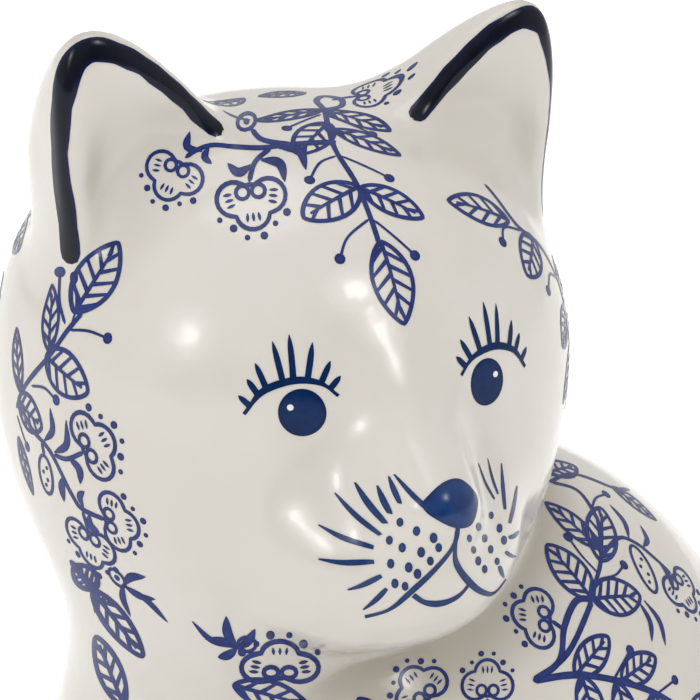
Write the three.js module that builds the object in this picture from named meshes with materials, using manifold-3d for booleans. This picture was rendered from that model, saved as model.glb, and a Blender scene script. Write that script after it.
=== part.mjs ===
// A seated ceramic cat with its head turned over its left shoulder. The cat is
// hollow: its body and head are thin slip-cast shells, joined by a ring of slip
// at the neck, with ears and tail luted on and felt pads under the feet.
// Millimetres, +Z up, the body faces -Y and the cat's left is +X. The origin is
// on the surface that the cat stands on, under the middle of its bounding box.
import * as THREE from 'three';
import { mergeVertices } from 'three/addons/utils/BufferGeometryUtils.js';
import Module from 'manifold-3d';

const wasm = await Module();
wasm.setup();

const v = (x, y, z) => new THREE.Vector3(x, y, z);

// ---- Driving dimensions ----

const WALL = 5.5; // thickness of the cast shells
const GAP = 0.3; // clearance between two neighbouring pieces
const FOOT_HEIGHT = 2; // underside of the clay above the table
const PAD_RADIUS = 9;
const SLIP_THICKNESS = 1.5; // ring of slip at the neck
const VENT_RADIUS = 10; // hole under the body, which lets air out in the kiln
const VENT_CENTRE = v(0, 12, 0);
const HEAD_CENTRE = v(0, -33, 193);
const HEAD_TURN = THREE.MathUtils.degToRad(70); // towards the cat's left
const RIGHT_EAR_LIFT = 2.5; // the right ear is set a little higher than the left
const SEAM_CENTRE = v(0, -22, 150);
const SEAM_TILT = THREE.MathUtils.degToRad(15.5); // the seam drops towards the chest
const BOX_MIDDLE = v(7.05, 3.43, 0); // middle of the bounding box, seen from above

const GLAZE = { color: 0xdad5cf, roughness: 0.15, metalness: 0 };
const SLIP = { color: 0xcfc9c1, roughness: 0.4, metalness: 0 };
const FELT = { color: 0x2c2f38, roughness: 0.95, metalness: 0 };

// ---- Distances: negative inside a form, zero on its surface ----

// Two forms that run into each other over a fillet about `blend` wide.
function join(a, b, blend) {
  const overlap = Math.max(blend - Math.abs(a - b), 0) / blend;
  return Math.min(a, b) - overlap * overlap * blend / 4;
}

// The part that two forms share, with its edge rounded over about `blend`.
const trim = (a, b, blend) => -join(-a, -b, blend);

const plane = (p, normal, offset) => p.dot(normal) - offset;

const mirrored = (p) => v(Math.abs(p.x), p.y, p.z);

function ellipsoid(p, centre, radii) {
  const q = p.clone().sub(centre).divide(radii);
  const size = q.length() + 1e-6;
  return size * (size - 1) / (q.divide(radii).length() + 1e-9);
}

// An ellipsoid with fuller shoulders: `power` 2 is a true ellipsoid.
function fullEllipsoid(p, centre, radii, power) {
  const q = p.clone().sub(centre).divide(radii).toArray().map((n) => Math.abs(n) + 1e-6);
  const size = q.reduce((sum, n) => sum + n ** power, 0) ** (1 / power);
  const slope = v(...q.map((n) => (n / size) ** (power - 1))).divide(radii).length();
  return (size - 1) / slope;
}

// A ball at each end and the cone that touches both.
function roundCone(p, a, b, radiusA, radiusB) {
  const axis = b.clone().sub(a);
  const length = axis.length();
  const taper = (radiusA - radiusB) / length;
  const along = p.clone().sub(a).dot(axis) / length;
  const across = Math.sqrt(Math.max(p.distanceToSquared(a) - along * along, 0));
  const lean = along * Math.sqrt(1 - taper * taper) - across * taper;
  if (lean < 0) return p.distanceTo(a) - radiusA;
  if (lean > length * Math.sqrt(1 - taper * taper)) return p.distanceTo(b) - radiusB;
  return across * Math.sqrt(1 - taper * taper) + along * taper - radiusA;
}

// ---- Forms of the head, around the middle of the head, the face towards -Y ----

function skull(p) {
  const m = mirrored(p);
  let d = fullEllipsoid(p, v(0, 2, 1), v(61.6, 61, 59.5), 2.2);
  d = join(d, ellipsoid(p, v(0, -4, -26), v(50, 47, 33)), 16); // jaw
  d = trim(d, plane(m, v(0.83, -0.482, -0.282), 73), 20); // flat of the cheek
  d = join(d, ellipsoid(p, v(0, -53, -24), v(27, 22.5, 20)), 15); // muzzle
  return join(d, roundCone(p, v(0, -48, 10), v(0, -72, -9), 11, 10), 10); // bridge and nose
}

// A leaning, pointed ear with a raised rim round a shallow dish.
function ear(p) {
  const m = mirrored(p);
  if (p.x < 0) m.z -= RIGHT_EAR_LIFT;
  const outerSide = plane(m, v(1, 0, -0.033), 55.2);
  const innerSide = plane(m, v(-0.673, 0, 0.74), 30.6);
  const sides = trim(outerSide, innerSide, 24);
  const dish = 2.6 * THREE.MathUtils.smoothstep(-sides, 3, 10);
  let d = trim(sides, -(m.y + 17.5) + dish, 5);
  d = trim(d, plane(m, v(0, 0.848, 0.53), 41.5), 14);
  return trim(d, ellipsoid(m, v(42.7, -4, 65), v(26.9, 27, 36.9)), 11.5);
}

// ---- Forms of the body, the chest towards -Y ----

const onFoot = (p, d) => trim(d, FOOT_HEIGHT - p.z, 4);

function trunk(p) {
  const m = mirrored(p);
  let d = ellipsoid(p, v(0, 12, 72), v(78, 88, 96)); // back and belly
  d = join(d, ellipsoid(p, v(0, -36, 104), v(54, 41, 60)), 20); // chest
  d = join(d, ellipsoid(m, v(48, 28, 46), v(38, 56, 47)), 12); // haunches
  return onFoot(p, d);
}

function foreleg(p) {
  const m = mirrored(p);
  const leg = roundCone(m, v(26, -46, 84), v(23, -66, 16), 23, 16);
  return onFoot(p, join(leg, ellipsoid(m, v(23, -78, 9), v(18, 21, 15)), 10));
}

const hindPaw = (p) => onFoot(p, ellipsoid(mirrored(p), v(58, -34, 9), v(18, 27, 14)));

// ---- Solids ----

const polesUp = (segments, rings) => new THREE.SphereGeometry(1, segments, rings).rotateX(Math.PI / 2);
const polesFrontAndBack = (segments, rings) => new THREE.SphereGeometry(1, segments, rings);

// Slides a unit sphere's points along their rays until they lie on the surface.
function wrap(distance, centre, sphere) {
  sphere.deleteAttribute('normal');
  sphere.deleteAttribute('uv');
  const geometry = mergeVertices(sphere, 1e-5);
  const points = geometry.getAttribute('position');
  const stride = 2;
  for (let i = 0; i < points.count; i += 1) {
    const ray = v(0, 0, 0).fromBufferAttribute(points, i).normalize();
    const at = (length) => centre.clone().addScaledVector(ray, length);
    let outside = stride;
    while (distance(at(outside)) < 0) outside += stride;
    let inside = outside - stride;
    for (let halving = 0; halving < 24; halving += 1) {
      const middle = (inside + outside) / 2;
      if (distance(at(middle)) < 0) inside = middle;
      else outside = middle;
    }
    points.setXYZ(i, ...at(inside));
  }
  return geometry;
}

function solid(geometry) {
  const bare = geometry.clone();
  bare.deleteAttribute('normal');
  bare.deleteAttribute('uv');
  const merged = mergeVertices(bare, 1e-4);
  return new wasm.Manifold(new wasm.Mesh({
    numProp: 3,
    vertProperties: Float32Array.from(merged.getAttribute('position').array),
    triVerts: Uint32Array.from(merged.index.array),
  }));
}

function piece(name, manifold, look) {
  const { vertProperties, triVerts } = manifold.getMesh();
  const geometry = new THREE.BufferGeometry();
  geometry.setAttribute('position', new THREE.BufferAttribute(vertProperties, 3));
  geometry.setIndex(new THREE.BufferAttribute(triVerts, 1));
  geometry.computeVertexNormals();
  return named(name, geometry, look);
}

function named(name, geometry, look) {
  const mesh = new THREE.Mesh(geometry, new THREE.MeshStandardMaterial(look));
  mesh.name = name;
  return mesh;
}

// ---- The seam at the neck: a slab across the cat, in the cat's own space ----

const SLAB_SIZE = 300;

// The space between two heights measured from the seam along its normal.
function seamSlab(low, high) {
  const slab = new THREE.BoxGeometry(SLAB_SIZE, SLAB_SIZE, high - low);
  slab.translate(0, 0, (low + high) / 2).rotateX(SEAM_TILT);
  return slab.translate(...SEAM_CENTRE);
}

const seamEdge = SLIP_THICKNESS / 2;
const cutEdge = seamEdge + GAP;

// ---- Head ----

const head = new THREE.Group();
head.position.copy(HEAD_CENTRE);
head.rotation.z = HEAD_TURN;
head.updateMatrixWorld();
const intoHead = head.matrixWorld.clone().invert();
const skullCentre = v(0, -2, -4);
const skullForm = (skin) => wrap((p) => skull(p) - skin, skullCentre, polesUp(44, 34));
const skullCavity = () => wrap((p) => skull(p) + WALL, skullCentre, polesUp(24, 18));
const belowHead = solid(seamSlab(-SLAB_SIZE, cutEdge).applyMatrix4(intoHead));
const headShell = solid(skullForm(0)).subtract(solid(skullCavity())).subtract(belowHead);
head.add(piece('head_shell', headShell, GLAZE));

const skullWithGap = solid(skullForm(GAP));
for (const [side, name] of [[1, 'left_ear'], [-1, 'right_ear']]) {
  const rawEar = solid(wrap(ear, v(side * 40, -8, 52), polesFrontAndBack(32, 26)));
  head.add(piece(name, rawEar.subtract(skullWithGap), GLAZE));
}

// ---- Body ----

const trunkCentre = v(0, 0, 62);

// Trunk, forelegs and hind paws in one, `skin` thicker all over.
function bodyForm(skin) {
  const grown = (distance) => (p) => distance(p) - skin;
  let form = solid(wrap(grown(trunk), trunkCentre, polesUp(44, 32)));
  for (const side of [1, -1]) {
    form = form.add(solid(wrap(grown(foreleg), v(side * 23, -64, 24), polesUp(18, 18))));
    form = form.add(solid(wrap(grown(hindPaw), v(side * 58, -34, 11), polesUp(16, 10))));
  }
  return form;
}

const bodyOuter = bodyForm(0);
const bodyCavity = solid(wrap((p) => trunk(p) + WALL, trunkCentre, polesUp(26, 20)));
const aboveBody = solid(seamSlab(-cutEdge, SLAB_SIZE));
const ventDepth = 20;
const vent = new THREE.CylinderGeometry(VENT_RADIUS, VENT_RADIUS, ventDepth, 32).rotateX(Math.PI / 2);
vent.translate(...VENT_CENTRE);
const bodyShell = bodyOuter.subtract(bodyCavity).subtract(aboveBody).subtract(solid(vent));
const body = piece('body_shell', bodyShell, GLAZE);

// ---- Slip that joins head and body at the neck ----

function inCatSpace(geometry) {
  return solid(geometry.applyMatrix4(head.matrixWorld));
}

const neckOuter = inCatSpace(skullForm(0)).intersect(bodyOuter);
const neckInner = inCatSpace(skullCavity()).add(bodyCavity);
const slipRing = solid(seamSlab(-seamEdge, seamEdge)).intersect(neckOuter).subtract(neckInner);
const neckSlip = piece('neck_slip_joint', slipRing, SLIP);

// ---- Tail: a tapering roll of clay from the rump round the left side ----

const TAIL_ROOT_RADIUS = 15;
const TAIL_TIP_RADIUS = 10;
const tailLine = new THREE.CatmullRomCurve3([
  v(-6, 88, 34), v(38, 88, 22), v(76, 58, 17), v(88, 12, 15), v(85, -28, 13), v(70, -62, 13),
]);

// A sphere drawn out along the tail: its poles become the root and the tip.
function tailGeometry(segments, rings) {
  const sphere = new THREE.SphereGeometry(1, segments, rings);
  const points = sphere.getAttribute('position');
  const up = v(0, 0, 1);
  for (let i = 0; i < points.count; i += 1) {
    const p = v(0, 0, 0).fromBufferAttribute(points, i);
    const share = Math.acos(THREE.MathUtils.clamp(p.y, -1, 1)) / Math.PI;
    const capped = THREE.MathUtils.clamp((share - 0.15) / 0.7, 0, 1);
    const radius = THREE.MathUtils.lerp(TAIL_ROOT_RADIUS, TAIL_TIP_RADIUS, capped);
    const capAngle = Math.PI / 2 * Math.min(share, 1 - share, 0.15) / 0.15;
    const overhang = radius * Math.cos(capAngle) * Math.sign(share - 0.5);
    const forward = tailLine.getTangentAt(capped);
    const across = v(0, 0, 0).crossVectors(up, forward).normalize();
    const upward = v(0, 0, 0).crossVectors(forward, across);
    const turn = Math.atan2(p.z, p.x);
    const place = tailLine.getPointAt(capped).addScaledVector(forward, overhang);
    place.addScaledVector(across, radius * Math.sin(capAngle) * Math.cos(turn));
    place.addScaledVector(upward, radius * Math.sin(capAngle) * Math.sin(turn));
    points.setXYZ(i, ...place);
  }
  return sphere;
}

const tail = piece('tail', solid(tailGeometry(14, 30)).subtract(bodyForm(GAP)), GLAZE);

// ---- Felt pads under the paws and the rump ----

const padThickness = FOOT_HEIGHT - GAP;
const padPlaces = {
  felt_pad_front_left: v(23, -78, padThickness / 2),
  felt_pad_front_right: v(-23, -78, padThickness / 2),
  felt_pad_rear_left: v(27, 46, padThickness / 2),
  felt_pad_rear_right: v(-27, 46, padThickness / 2),
};
const pads = Object.entries(padPlaces).map(([name, place]) => {
  const disc = new THREE.CylinderGeometry(PAD_RADIUS, PAD_RADIUS, padThickness, 32);
  const pad = named(name, disc.rotateX(Math.PI / 2), FELT);
  pad.position.copy(place);
  return pad;
});

// ---- The whole cat, moved so that its origin is under its middle ----

const cat = new THREE.Group();
cat.add(body, head, neckSlip, tail, ...pads);
cat.position.set(-BOX_MIDDLE.x, -BOX_MIDDLE.y, 0);

export default cat;
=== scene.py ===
"""A seated ceramic cat with its head turned over its left shoulder, in a warm
off-white glaze over a cobalt print, with a painted face and dark ear rims.

The cat's skin is one smooth form, given by a distance function in the same
millimetres as the CAD. It is meshed finely, hollowed, and cut where the cast
pieces meet. Print and paint are thin films of colour laid on that skin.
Lengths below are in millimetres unless a name says otherwise; -Y is the way
the chest faces, +X the cat's left, and the face looks along the head's own -Y.
"""
import math

import bmesh
import bpy
import numpy as np
from mathutils import Matrix, Vector


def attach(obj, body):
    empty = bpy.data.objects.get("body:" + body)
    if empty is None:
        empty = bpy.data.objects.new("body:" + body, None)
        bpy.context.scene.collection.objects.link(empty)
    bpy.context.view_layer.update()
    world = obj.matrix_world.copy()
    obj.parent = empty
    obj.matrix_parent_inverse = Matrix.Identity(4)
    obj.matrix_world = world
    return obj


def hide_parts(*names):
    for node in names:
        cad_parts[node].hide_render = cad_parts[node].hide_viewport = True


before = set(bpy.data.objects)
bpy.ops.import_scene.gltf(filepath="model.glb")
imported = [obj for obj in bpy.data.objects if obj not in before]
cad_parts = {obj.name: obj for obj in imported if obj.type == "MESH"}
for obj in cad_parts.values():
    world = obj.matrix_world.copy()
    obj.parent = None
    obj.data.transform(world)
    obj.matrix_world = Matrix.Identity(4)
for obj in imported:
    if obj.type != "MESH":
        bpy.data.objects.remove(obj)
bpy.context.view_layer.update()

MM = 0.001

# ---- Driving dimensions, the same as the CAD's ----

WALL = 5.5
FOOT_HEIGHT = 2.0
VENT_RADIUS = 10.0
VENT_CENTRE = (0, 12)
HEAD_CENTRE = np.array([0, -33, 193.0])
HEAD_TURN = math.radians(70)
RIGHT_EAR_LIFT = 2.5
SEAM_CENTRE = np.array([0, -22, 150.0])
SEAM_TILT = math.radians(15.5)
BOX_MIDDLE = np.array([7.05, 3.43, 0.0])  # what lies over the frame's origin
PAD_RADIUS = 9.0
PAD_PLACES = {
    "felt_pad_front_left": (23, -78),
    "felt_pad_front_right": (-23, -78),
    "felt_pad_rear_left": (27, 46),
    "felt_pad_rear_right": (-27, 46),
}
TAIL_ROUTE = [(-6, 88, 34), (38, 88, 22), (76, 58, 17), (88, 12, 15), (85, -28, 13), (70, -62, 13)]
TAIL_RADII = (15, 10)

EAR_LEAN = (0.636, 0.772)  # the way out of the head to an ear: sideways and up
EAR_ROOT = 58.8  # how far out that way the ears are stuck on

VIEW = (45, 17)  # bearing and height of the camera from the cat, in degrees
VIEW_OFFSET = (14.13, 4.35)  # the view's middle, to the right of the head's centre and above it
VIEW_DISTANCE = 900
LENS_LENGTH = 212.9
SENSOR_WIDTH = 36

SKIN_STEP = 1.6  # how fine the skin is meshed
SKIN_BOX = ((-98, -104, -4), (102, 110, 290))
CAVITY_STEP = 4.0
CAVITY_BOX = ((-90, -98, -2), (90, 110, 262))
FILM = 0.10  # how far print stands on the skin
SINK = 0.15  # how far it reaches into the skin
RING_STEP = 1.3  # how far apart the rings of a filled shape are
NEAR_FORM = 0.4  # how near to a form its own points are
# painted shade: how far out from the skin the greying of the creases looks for nearby skin
CREASE_SHADE_REACH = 25  # how far from the skin its shelter is felt

# ---- Distances: negative inside a form, zero on its surface ----


def join(a, b, blend):
    overlap = np.maximum(blend - np.abs(a - b), 0) / blend
    return np.minimum(a, b) - overlap * overlap * (blend / 4)


def trim(a, b, blend):
    return -join(-a, -b, blend)


def ellipsoid(p, centre, radii):
    q = (p - np.array(centre, np.float32)) / np.array(radii, np.float32)
    size = np.sqrt((q * q).sum(-1)) + 1e-6
    slope = np.sqrt(((q / np.array(radii, np.float32)) ** 2).sum(-1)) + 1e-9
    return size * (size - 1) / slope


def full_ellipsoid(p, centre, radii, power):
    """An ellipsoid that bulges towards its box as the power goes above 2."""
    q = np.abs((p - np.array(centre, np.float32)) / np.array(radii, np.float32)) + 1e-6
    size = (q**power).sum(-1) ** (1 / power)
    slope = ((q / size[..., None]) ** (power - 1)) / np.array(radii, np.float32)
    return (size - 1) / np.sqrt((slope * slope).sum(-1))


def round_cone(p, a, b, radius_a, radius_b):
    """Two balls with a straight taper between them."""
    a = np.array(a, np.float32)
    b = np.array(b, np.float32)
    length = float(np.linalg.norm(b - a))
    taper = (radius_a - radius_b) / length
    level = math.sqrt(1 - taper * taper)
    along = (p - a) @ ((b - a) / length)
    across = np.sqrt(np.maximum(((p - a) ** 2).sum(-1) - along * along, 0))
    lean = along * level - across * taper
    side = across * level + along * taper - radius_a
    end_a = np.sqrt(((p - a) ** 2).sum(-1)) - radius_a
    end_b = np.sqrt(((p - b) ** 2).sum(-1)) - radius_b
    return np.where(lean < 0, end_a, np.where(lean > length * level, end_b, side))


def plane(p, normal, offset):
    return p @ np.array(normal, np.float32) - offset


def mirrored(p):
    return np.concatenate([np.abs(p[..., :1]), p[..., 1:]], -1)


def smoothstep(low, high, x):
    t = np.clip((x - low) / (high - low), 0, 1)
    return t * t * (3 - 2 * t)


def skull(p):
    d = full_ellipsoid(p, (0, 2, 1), (61.6, 61, 59.5), 2.2)
    d = join(d, ellipsoid(p, (0, -4, -26), (50, 47, 33)), 16)  # jaw
    d = trim(d, plane(mirrored(p), (0.83, -0.482, -0.282), 73), 20)  # flat of the cheek
    d = join(d, ellipsoid(p, (0, -53, -24), (27, 22.5, 20)), 15)  # muzzle
    return join(d, round_cone(p, (0, -48, 10), (0, -72, -9), 11, 10), 10)  # bridge and nose


def ear(p):
    """A wedge between two sides, dished in front, sloped behind and rounded to its tip."""
    m = mirrored(p)
    m[..., 2] -= RIGHT_EAR_LIFT * (p[..., 0] < 0)
    outer_side = plane(m, (1, 0, -0.033), 55.2)
    inner_side = plane(m, (-0.673, 0, 0.74), 30.6)
    sides = trim(outer_side, inner_side, 24)
    dish = 2.6 * smoothstep(3, 10, -sides)
    d = trim(sides, -(m[..., 1] + 17.5) + dish, 5)
    d = trim(d, plane(m, (0, 0.848, 0.53), 41.5), 14)
    return trim(d, ellipsoid(m, (42.7, -4, 65), (26.9, 27, 36.9)), 11.5)


def into_head(p):
    c, s = math.cos(HEAD_TURN), math.sin(HEAD_TURN)
    q = p - HEAD_CENTRE.astype(np.float32)
    return np.stack([c * q[..., 0] + s * q[..., 1], -s * q[..., 0] + c * q[..., 1], q[..., 2]], -1)


def out_of_head(q):
    c, s = math.cos(HEAD_TURN), math.sin(HEAD_TURN)
    turned = np.stack([c * q[..., 0] - s * q[..., 1], s * q[..., 0] + c * q[..., 1], q[..., 2]], -1)
    return turned + HEAD_CENTRE


def trunk(p):
    m = mirrored(p)
    d = ellipsoid(p, (0, 12, 72), (78, 88, 96))  # back and belly
    d = join(d, ellipsoid(p, (0, -36, 104), (54, 41, 60)), 20)  # chest
    return join(d, ellipsoid(m, (48, 28, 46), (38, 56, 47)), 12)  # haunches


def body(p):
    m = mirrored(p)
    leg = round_cone(m, (26, -46, 84), (23, -66, 16), 23, 16)
    leg = join(leg, ellipsoid(m, (23, -78, 9), (18, 21, 15)), 10)  # forepaw
    d = join(trunk(p), leg, 12)
    return join(d, ellipsoid(m, (58, -34, 9), (18, 27, 14)), 8)  # hind paw


def catmull_rom(points, per_span):
    """A smooth curve through the points, in steps even in its own parameter."""
    p = np.array(points, float)
    p = np.vstack([2 * p[0] - p[1], p, 2 * p[-1] - p[-2]])
    t = np.linspace(0, 1, per_span, endpoint=False)[:, None]
    spans = []
    for a, b, c, d in zip(p, p[1:], p[2:], p[3:]):
        bend = (2 * a - 5 * b + 4 * c - d) * t * t + (3 * b - a - 3 * c + d) * t**3
        spans.append(0.5 * (2 * b + (c - a) * t + bend))
    return np.vstack(spans + [p[-2:-1]])


TAIL_LINE = catmull_rom(TAIL_ROUTE, 6)


def tail(p):
    """A tapering round bar along the tail's line."""
    d = np.full(p.shape[:-1], 1e3, np.float32)
    near = np.all((p > TAIL_LINE.min(0) - 30) & (p < TAIL_LINE.max(0) + 30), -1)
    q = p[near]
    best = d[near]
    radii = np.linspace(*TAIL_RADII, len(TAIL_LINE))
    for a, b, radius_a, radius_b in zip(TAIL_LINE, TAIL_LINE[1:], radii, radii[1:]):
        ab = (b - a).astype(np.float32)
        along = np.clip(((q - a.astype(np.float32)) @ ab) / float(ab @ ab), 0, 1)
        gap = q - a.astype(np.float32) - along[..., None] * ab
        best = np.minimum(best, np.sqrt((gap**2).sum(-1)) - radius_a - (radius_b - radius_a) * along)
    d[near] = best
    return d


def skin(p):
    """The whole glazed surface of the cat."""
    p = np.asarray(p, np.float32)
    q = into_head(p)
    crease = 3 + 27 * smoothstep(-5, -60, p[..., 0] + p[..., 1])  # sharp on the left, filled on the right
    d = join(join(skull(q), ear(q), 12), body(p), crease)
    d = join(d, tail(p), 5)
    return trim(d, FOOT_HEIGHT - p[..., 2], 4)


def cavity(p):
    """The hollow inside the castings."""
    p = np.asarray(p, np.float32)
    d = join(skull(into_head(p)), trunk(p), 12)
    return trim(d, FOOT_HEIGHT - p[..., 2], 4) + WALL


# ---- Meshing a form ----

CORNERS = np.array([(x, y, z) for x in (0, 1) for y in (0, 1) for z in (0, 1)])
EDGES = [(a, b) for a in range(8) for b in range(a, 8) if abs(CORNERS[a] - CORNERS[b]).sum() == 1]


def slope(form, p, reach=0.3):
    """The form's gradient, which points outwards."""
    g = np.zeros(p.shape)
    for axis in range(3):
        step = np.zeros(3)
        step[axis] = reach
        g[..., axis] = (form(p + step) - form(p - step)) / (2 * reach)
    return g


def settle(form, p, rounds=4):
    """Moves points straight onto the form's surface."""
    for _ in range(rounds):
        g = slope(form, p)
        p = p - g * (form(p) / ((g * g).sum(-1) + 1e-9))[..., None]
    return p


def facing(form, p):
    g = slope(form, p)
    return g / (np.linalg.norm(g, axis=-1, keepdims=True) + 1e-12)


def net(form, low, high, step):
    """A mesh of quads over the form: one point in each grid cell that the surface crosses."""
    axes = [np.arange(a, b + step, step, dtype=np.float32) for a, b in zip(low, high)]
    slices = [np.stack(np.meshgrid([x], axes[1], axes[2], indexing="ij"), -1) for x in axes[0]]
    values = np.stack([form(grid)[0] for grid in slices])
    inside = values < 0
    counts = np.zeros(np.array(values.shape) - 1, int)
    for dx, dy, dz in CORNERS:
        counts += inside[dx:, dy:, dz:][: counts.shape[0], : counts.shape[1], : counts.shape[2]]
    cells = np.argwhere((counts > 0) & (counts < 8))
    number = np.full(counts.shape, -1)
    number[tuple(cells.T)] = np.arange(len(cells))
    total = np.zeros((len(cells), 3))
    crossings = np.zeros(len(cells))
    for a, b in EDGES:
        va = values[tuple((cells + CORNERS[a]).T)]
        vb = values[tuple((cells + CORNERS[b]).T)]
        crossed = (va < 0) != (vb < 0)
        share = np.where(crossed, va / np.where(crossed, va - vb, 1), 0)
        point = CORNERS[a] + share[:, None] * (CORNERS[b] - CORNERS[a])
        total += point * crossed[:, None]
        crossings += crossed
    points = np.array(low) + (cells + total / crossings[:, None]) * step
    quads = []
    for axis in range(3):
        ahead = np.roll(np.array([1, 0, 0]), axis)
        first, second = np.roll(ahead, 1), np.roll(ahead, 2)
        starts = np.argwhere(inside != np.roll(inside, -1, axis))
        starts = starts[starts[:, axis] < values.shape[axis] - 1]
        ring = [number[tuple((starts - o).T)] for o in (first * 0, first, first + second, second)]
        quad = np.stack(ring, 1)
        leaving = inside[tuple(starts.T)]
        quad[~leaving] = quad[~leaving][:, ::-1]
        quads.append(quad)
    return settle(form, points), np.vstack(quads)


def mesh_object(name, points, faces, normals=None):
    """A mesh object in metres in the row frame, from points in the cat's own millimetres."""
    mesh = bpy.data.meshes.new(name)
    mesh.from_pydata(((points - BOX_MIDDLE) * MM).tolist(), [], [list(map(int, f)) for f in faces])
    mesh.update()
    mesh.polygons.foreach_set("use_smooth", [True] * len(mesh.polygons))
    if normals is not None:
        mesh.normals_split_custom_set_from_vertices(normals.tolist())
    made = bpy.data.objects.new(name, mesh)
    bpy.context.scene.collection.objects.link(made)
    return made


def keep_values(made, name, values):
    """Keeps a value for each of a mesh's points, for its material to read."""
    layer = made.data.attributes.new(name, "FLOAT", "POINT")
    layer.data.foreach_set("value", values.astype(np.float32))


def points_of(made):
    """A mesh's points in the cat's own millimetres."""
    flat = np.empty(len(made.data.vertices) * 3, np.float32)
    made.data.vertices.foreach_get("co", flat)
    return flat.reshape(-1, 3).astype(float) / MM + BOX_MIDDLE


# ---- Drawing on the skin ----


def spot(bearing, height):
    """The way to a spot: its out direction, its right and its up for someone who looks at it."""
    b, h = math.radians(bearing), math.radians(height)
    out = np.array([math.sin(b) * math.cos(h), -math.cos(b) * math.cos(h), math.sin(h)])
    right = np.array([math.cos(b), math.sin(b), 0.0])
    return out, right, np.cross(right, -out)


def fall(p, way):
    """Moves points from outside the skin along a way until they lie on it."""
    for _ in range(60):
        p = p + way * np.clip(skin(p), 0, 50)[:, None] * 0.8
    return settle(skin, p, 2)


class Globe:
    """Paper wrapped on the skin round a spot, which is seen from a centre inside at a
    bearing (0 ahead along -Y, 90 to the left, +X) and a height, both in degrees.
    Drawing places are (right, up) in millimetres for someone who looks at the spot,
    and they keep their lengths at `radius` from the centre."""

    most_stretch = 2.4  # shapes that the skin would draw out further than this are left off

    def __init__(self, centre, radius, bearing, height, spin=0.0, on_head=False):
        self.centre = np.array(centre, float)
        self.radius = radius
        self.on_head = on_head
        self.out, right, upward = spot(bearing, height)
        c, s = math.cos(math.radians(spin)), math.sin(math.radians(spin))
        self.right = c * right + s * upward
        self.upward = -s * right + c * upward

    def place(self, drawn):
        """Where drawn places come to lie on the skin."""
        reach = np.linalg.norm(drawn, axis=-1, keepdims=True) + 1e-9
        turn = reach / self.radius
        sideways = (drawn[:, :1] * self.right + drawn[:, 1:] * self.upward) / reach
        ray = np.cos(turn) * self.out + np.sin(turn) * sideways
        centre = self.centre
        if self.on_head:
            ray = out_of_head(ray) - HEAD_CENTRE
            centre = out_of_head(centre)
        length = np.full((len(ray), 1), float(self.radius))
        for _ in range(8):
            here = skin(centre + ray * length)
            ahead = skin(centre + ray * (length + 0.5))
            climb = np.maximum((ahead - here) / 0.5, 0.3)
            length -= np.clip(here / climb, -6, 6)[:, None]
        return settle(skin, centre + ray * length, 2)


class FacePaper:
    """Flat paper pressed straight onto the face: (right, up) in millimetres from the head's centre."""

    most_stretch = 12

    def place(self, drawn):
        in_front = np.column_stack([drawn[:, 0], np.full(len(drawn), -110.0), drawn[:, 1]])
        inwards = out_of_head(np.array([0, 1.0, 0])) - HEAD_CENTRE
        return fall(out_of_head(in_front), inwards)


class ViewPaper:
    """A sheet that stands across the view through the head's centre, cast onto the skin
    from the camera's place: (right, up) in millimetres from the head's centre."""

    most_stretch = 12

    def place(self, drawn):
        back, right, upward = spot(*VIEW)
        eye = HEAD_CENTRE + right * VIEW_OFFSET[0] + upward * VIEW_OFFSET[1] + back * VIEW_DISTANCE
        ray = HEAD_CENTRE + drawn[:, :1] * right + drawn[:, 1:] * upward - eye
        ray /= np.linalg.norm(ray, axis=1, keepdims=True)
        return fall(eye + ray * (VIEW_DISTANCE - 140), ray)


def stretch(drawn, placed, faces):
    """How many times longer a shape's most drawn-out edge is on the skin than on paper."""
    a, b = np.array([pair for face in faces for pair in zip(face, face[1:])]).T
    before = np.linalg.norm(drawn[a] - drawn[b], axis=1)
    after = np.linalg.norm(placed[a] - placed[b], axis=1)
    return (after / np.maximum(before, 0.25)).max()


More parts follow.
